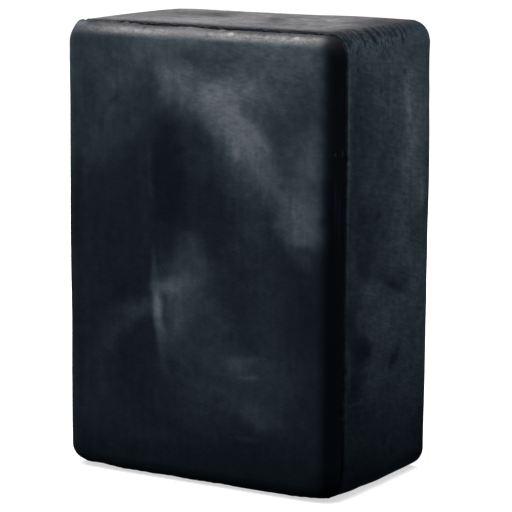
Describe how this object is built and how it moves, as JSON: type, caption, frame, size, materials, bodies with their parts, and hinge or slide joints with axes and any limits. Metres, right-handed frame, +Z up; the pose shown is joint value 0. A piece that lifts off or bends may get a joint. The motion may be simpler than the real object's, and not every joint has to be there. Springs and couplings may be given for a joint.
{
  "type": "charcoal drawing block",
  "caption": "Thick rectangular block of pressed charcoal with rounded corners, a softly rounded drawing face bonded to a deeper rear block, and flat ends to stand on.",
  "frame": {"origin": "centre of the bottom end, on the surface that the block stands on", "axes": "+Z up along the block's height, +X to the right across the drawing face, +Y from the drawing face to the back"},
  "size_m": [0.064, 0.0374, 0.092],
  "materials": {
    "rubbed_charcoal": "satin, rubbed smooth, with pale hazy smudges",
    "pressed_charcoal": "dry satin, dusty, with fine pressing streaks",
    "binder": "matt dried binder"
  },
  "bodies": {
    "root": {"face_slab": "rubbed_charcoal", "binder_film": "binder", "rear_block": "pressed_charcoal"}
  },
  "joints": []
}
